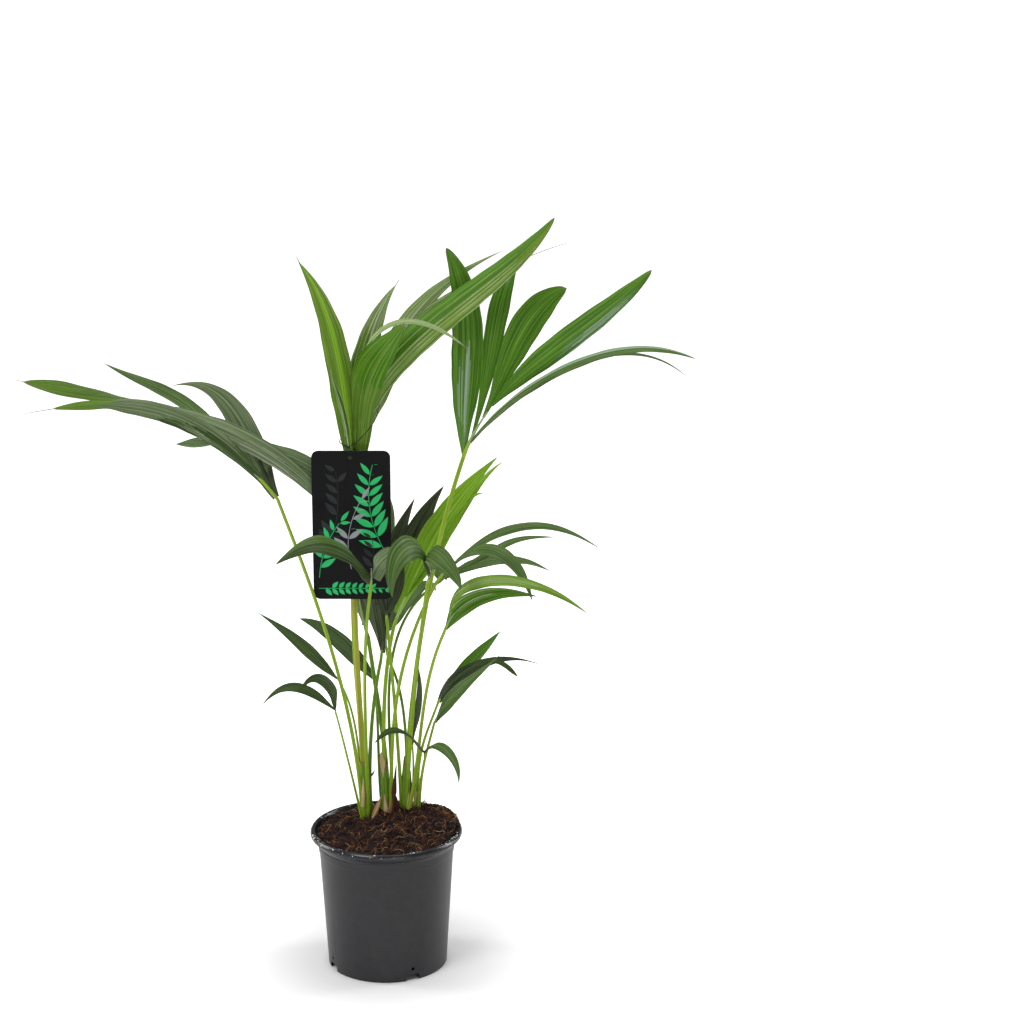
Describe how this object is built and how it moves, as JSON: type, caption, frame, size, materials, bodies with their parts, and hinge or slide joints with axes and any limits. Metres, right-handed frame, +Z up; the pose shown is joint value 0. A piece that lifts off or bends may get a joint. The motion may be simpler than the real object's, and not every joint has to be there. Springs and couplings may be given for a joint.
{
  "type": "potted kentia palm",
  "caption": "Young kentia palm in a round nursery pot: upright green leaf stalks with broad pleated leaflets, filled with soil, a hang tag tied at the crown.",
  "frame": {"origin": "on the ground under the middle of the pot, in the flat pad at the centre of its underside", "axes": "+Z up along the stems; the front, from which the tag is seen square on, faces -Y; +X to the right"},
  "size_m": [0.761, 0.4387, 0.89],
  "materials": {
    "pot": "matte, lightly scuffed",
    "soil": "loose damp coir and peat",
    "stem": "smooth leaf sheaths",
    "petiole": "smooth, slightly waxy",
    "leaf_young": "glossy pleated leaf",
    "leaf_old": "satin pleated leaf",
    "leaf_shade": "satin leaf in shade",
    "tag": "printed card, satin",
    "string": "twisted thread"
  },
  "bodies": {
    "root": {"pot": "pot", "soil": "soil", "stem_left": "stem", "stem_middle": "stem", "stem_right": "stem", "stem_side": "stem", "petiole_far_left": "petiole", "frond_far_left": "leaf_old", "petiole_arch_left": "petiole", "frond_arch_left": "leaf_old", "petiole_crown": "petiole", "frond_crown": "leaf_young", "petiole_tall_right": "petiole", "frond_tall_right": "leaf_young", "petiole_inner_right": "petiole", "frond_inner_right": "leaf_young", "petiole_shade_middle": "petiole", "frond_shade_middle": "leaf_shade", "petiole_shade_young": "petiole", "frond_shade_young": "leaf_shade", "petiole_behind_tag": "petiole", "frond_behind_tag": "leaf_old", "petiole_rear": "petiole", "frond_rear": "leaf_old", "petiole_front_left": "petiole", "frond_front_left": "leaf_old", "petiole_front_right": "petiole", "frond_front_right": "leaf_old", "petiole_reach_right": "petiole", "frond_reach_right": "leaf_old", "petiole_reach_rear": "petiole", "frond_reach_rear": "leaf_old", "petiole_low_reach": "petiole", "frond_low_reach": "leaf_young", "petiole_side_upper": "petiole", "frond_side_upper": "leaf_old", "petiole_side_lower": "petiole", "frond_side_lower": "leaf_old", "petiole_small_front": "petiole", "frond_small_front": "leaf_old", "petiole_side_left_slim": "petiole", "frond_side_left_slim": "leaf_old", "petiole_side_left_broad": "petiole", "frond_side_left_broad": "leaf_old", "petiole_small_left": "petiole", "frond_small_left": "leaf_old", "petiole_sliver": "petiole", "frond_sliver": "leaf_shade", "tag": "tag", "tag_string": "string"}
  },
  "joints": []
}
